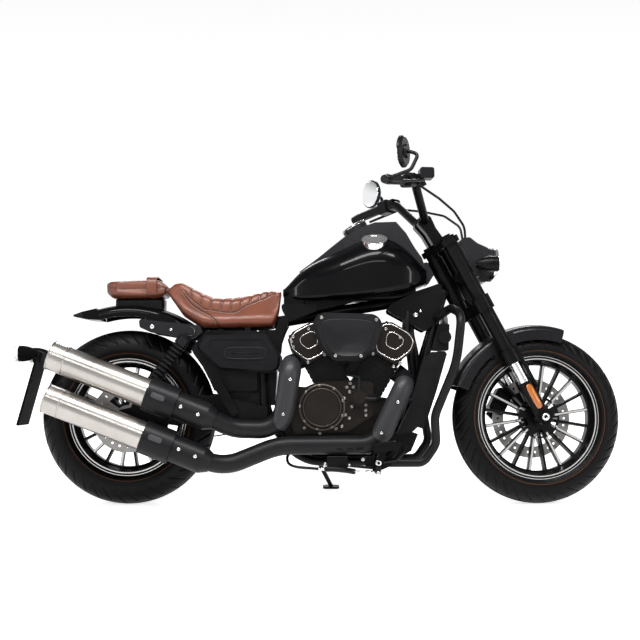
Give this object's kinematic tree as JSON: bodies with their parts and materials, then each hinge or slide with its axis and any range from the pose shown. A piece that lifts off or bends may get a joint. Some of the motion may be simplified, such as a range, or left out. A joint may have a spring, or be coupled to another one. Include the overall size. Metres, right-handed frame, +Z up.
{
  "type": "cruiser motorcycle",
  "caption": "Black cruiser motorcycle with a V-twin engine, tan seats, high twin silencers and an engine guard, leaning on its side stand.",
  "frame": {"origin": "middle of the motorcycle's footprint on the floor, as it leans on its side stand", "axes": "+X to the front of the motorcycle, +Y to its left, +Z up"},
  "size_m": [2.2435, 0.8893, 1.353],
  "materials": {
    "rubber": "matt moulded rubber",
    "satin_black": "satin black powder coat",
    "gloss_black": "gloss black paint under clear coat",
    "graphite": "matt graphite paint",
    "tan_leather": "stitched tan leather over foam",
    "black_plastic": "grained black plastic",
    "engine_bronze": "dark bronze paint on cast covers",
    "engine_black": "black wrinkle paint on castings",
    "exhaust_black": "heat-proof matt black",
    "weave_black": "woven carbon look under lacquer",
    "stainless": "brushed stainless steel",
    "steel": "ground steel",
    "chrome": "bright chrome",
    "clear_lens": "clear moulded lens",
    "tyre": "black tyre rubber"
  },
  "bodies": {
    "chassis": {"drive_belt": "rubber", "frame_spine": "satin_black", "frame_cradles": "satin_black", "swing_arm": "satin_black", "shocks": "satin_black", "rear_fender": "gloss_black", "fender_struts": "satin_black", "rider_seat": "tan_leather", "pillion_seat": "tan_leather", "side_covers": "black_plastic", "engine_case": "engine_bronze", "engine_covers": "engine_bronze", "cylinders": "engine_black", "air_filter": "black_plastic", "radiator": "engine_black", "fuel_tank": "gloss_black", "tank_console": "graphite", "fuel_cap": "chrome", "exhaust_rear": "exhaust_black", "exhaust_front": "exhaust_black", "silencers": "stainless", "heat_shields": "weave_black", "engine_guard": "satin_black", "foot_controls": "satin_black", "pillion_rests": "satin_black", "plate_holder": "black_plastic"},
    "steering": {"fork_yokes": "satin_black", "fork_sliders": "chrome", "fork_bottoms": "satin_black", "front_fender": "satin_black", "headlamp": "gloss_black", "headlamp_lens": "clear_lens", "front_signals": "satin_black", "handlebar": "satin_black", "hand_controls": "rubber", "mirrors": "satin_black", "cables": "rubber"},
    "front_wheel": {"front_tyre": "tyre", "front_rim": "satin_black", "front_disc": "steel"},
    "rear_wheel": {"rear_tyre": "tyre", "rear_rim": "satin_black", "rear_disc": "steel", "rear_pulley": "satin_black"},
    "stand": {"side_stand": "satin_black"}
  },
  "joints": [
    {"name": "steering_turn", "type": "hinge", "parent": "chassis", "child": "steering", "pos_m": [0.75667, -0.09534, 0.28887], "axis": [-0.4688, 0.1229, 0.8747], "range_deg": [-36.4, 23.6]},
    {"name": "front_wheel_spin", "type": "hinge", "parent": "steering", "child": "front_wheel", "pos_m": [0.80495, -0.08569, 0.31339], "axis": [-0.0986, 0.9768, -0.19], "continuous": true},
    {"name": "rear_wheel_spin", "type": "hinge", "parent": "chassis", "child": "rear_wheel", "pos_m": [-0.71674, -0.09105, 0.32059], "axis": [-0.0001, 0.9903, -0.1392], "continuous": true},
    {"name": "side_stand_fold", "type": "hinge", "parent": "chassis", "child": "stand", "pos_m": [-0.01689, 0.03679, 0.13745], "axis": [0.0005, 0.8192, 0.5736], "range_deg": [0, 100]}
  ]
}
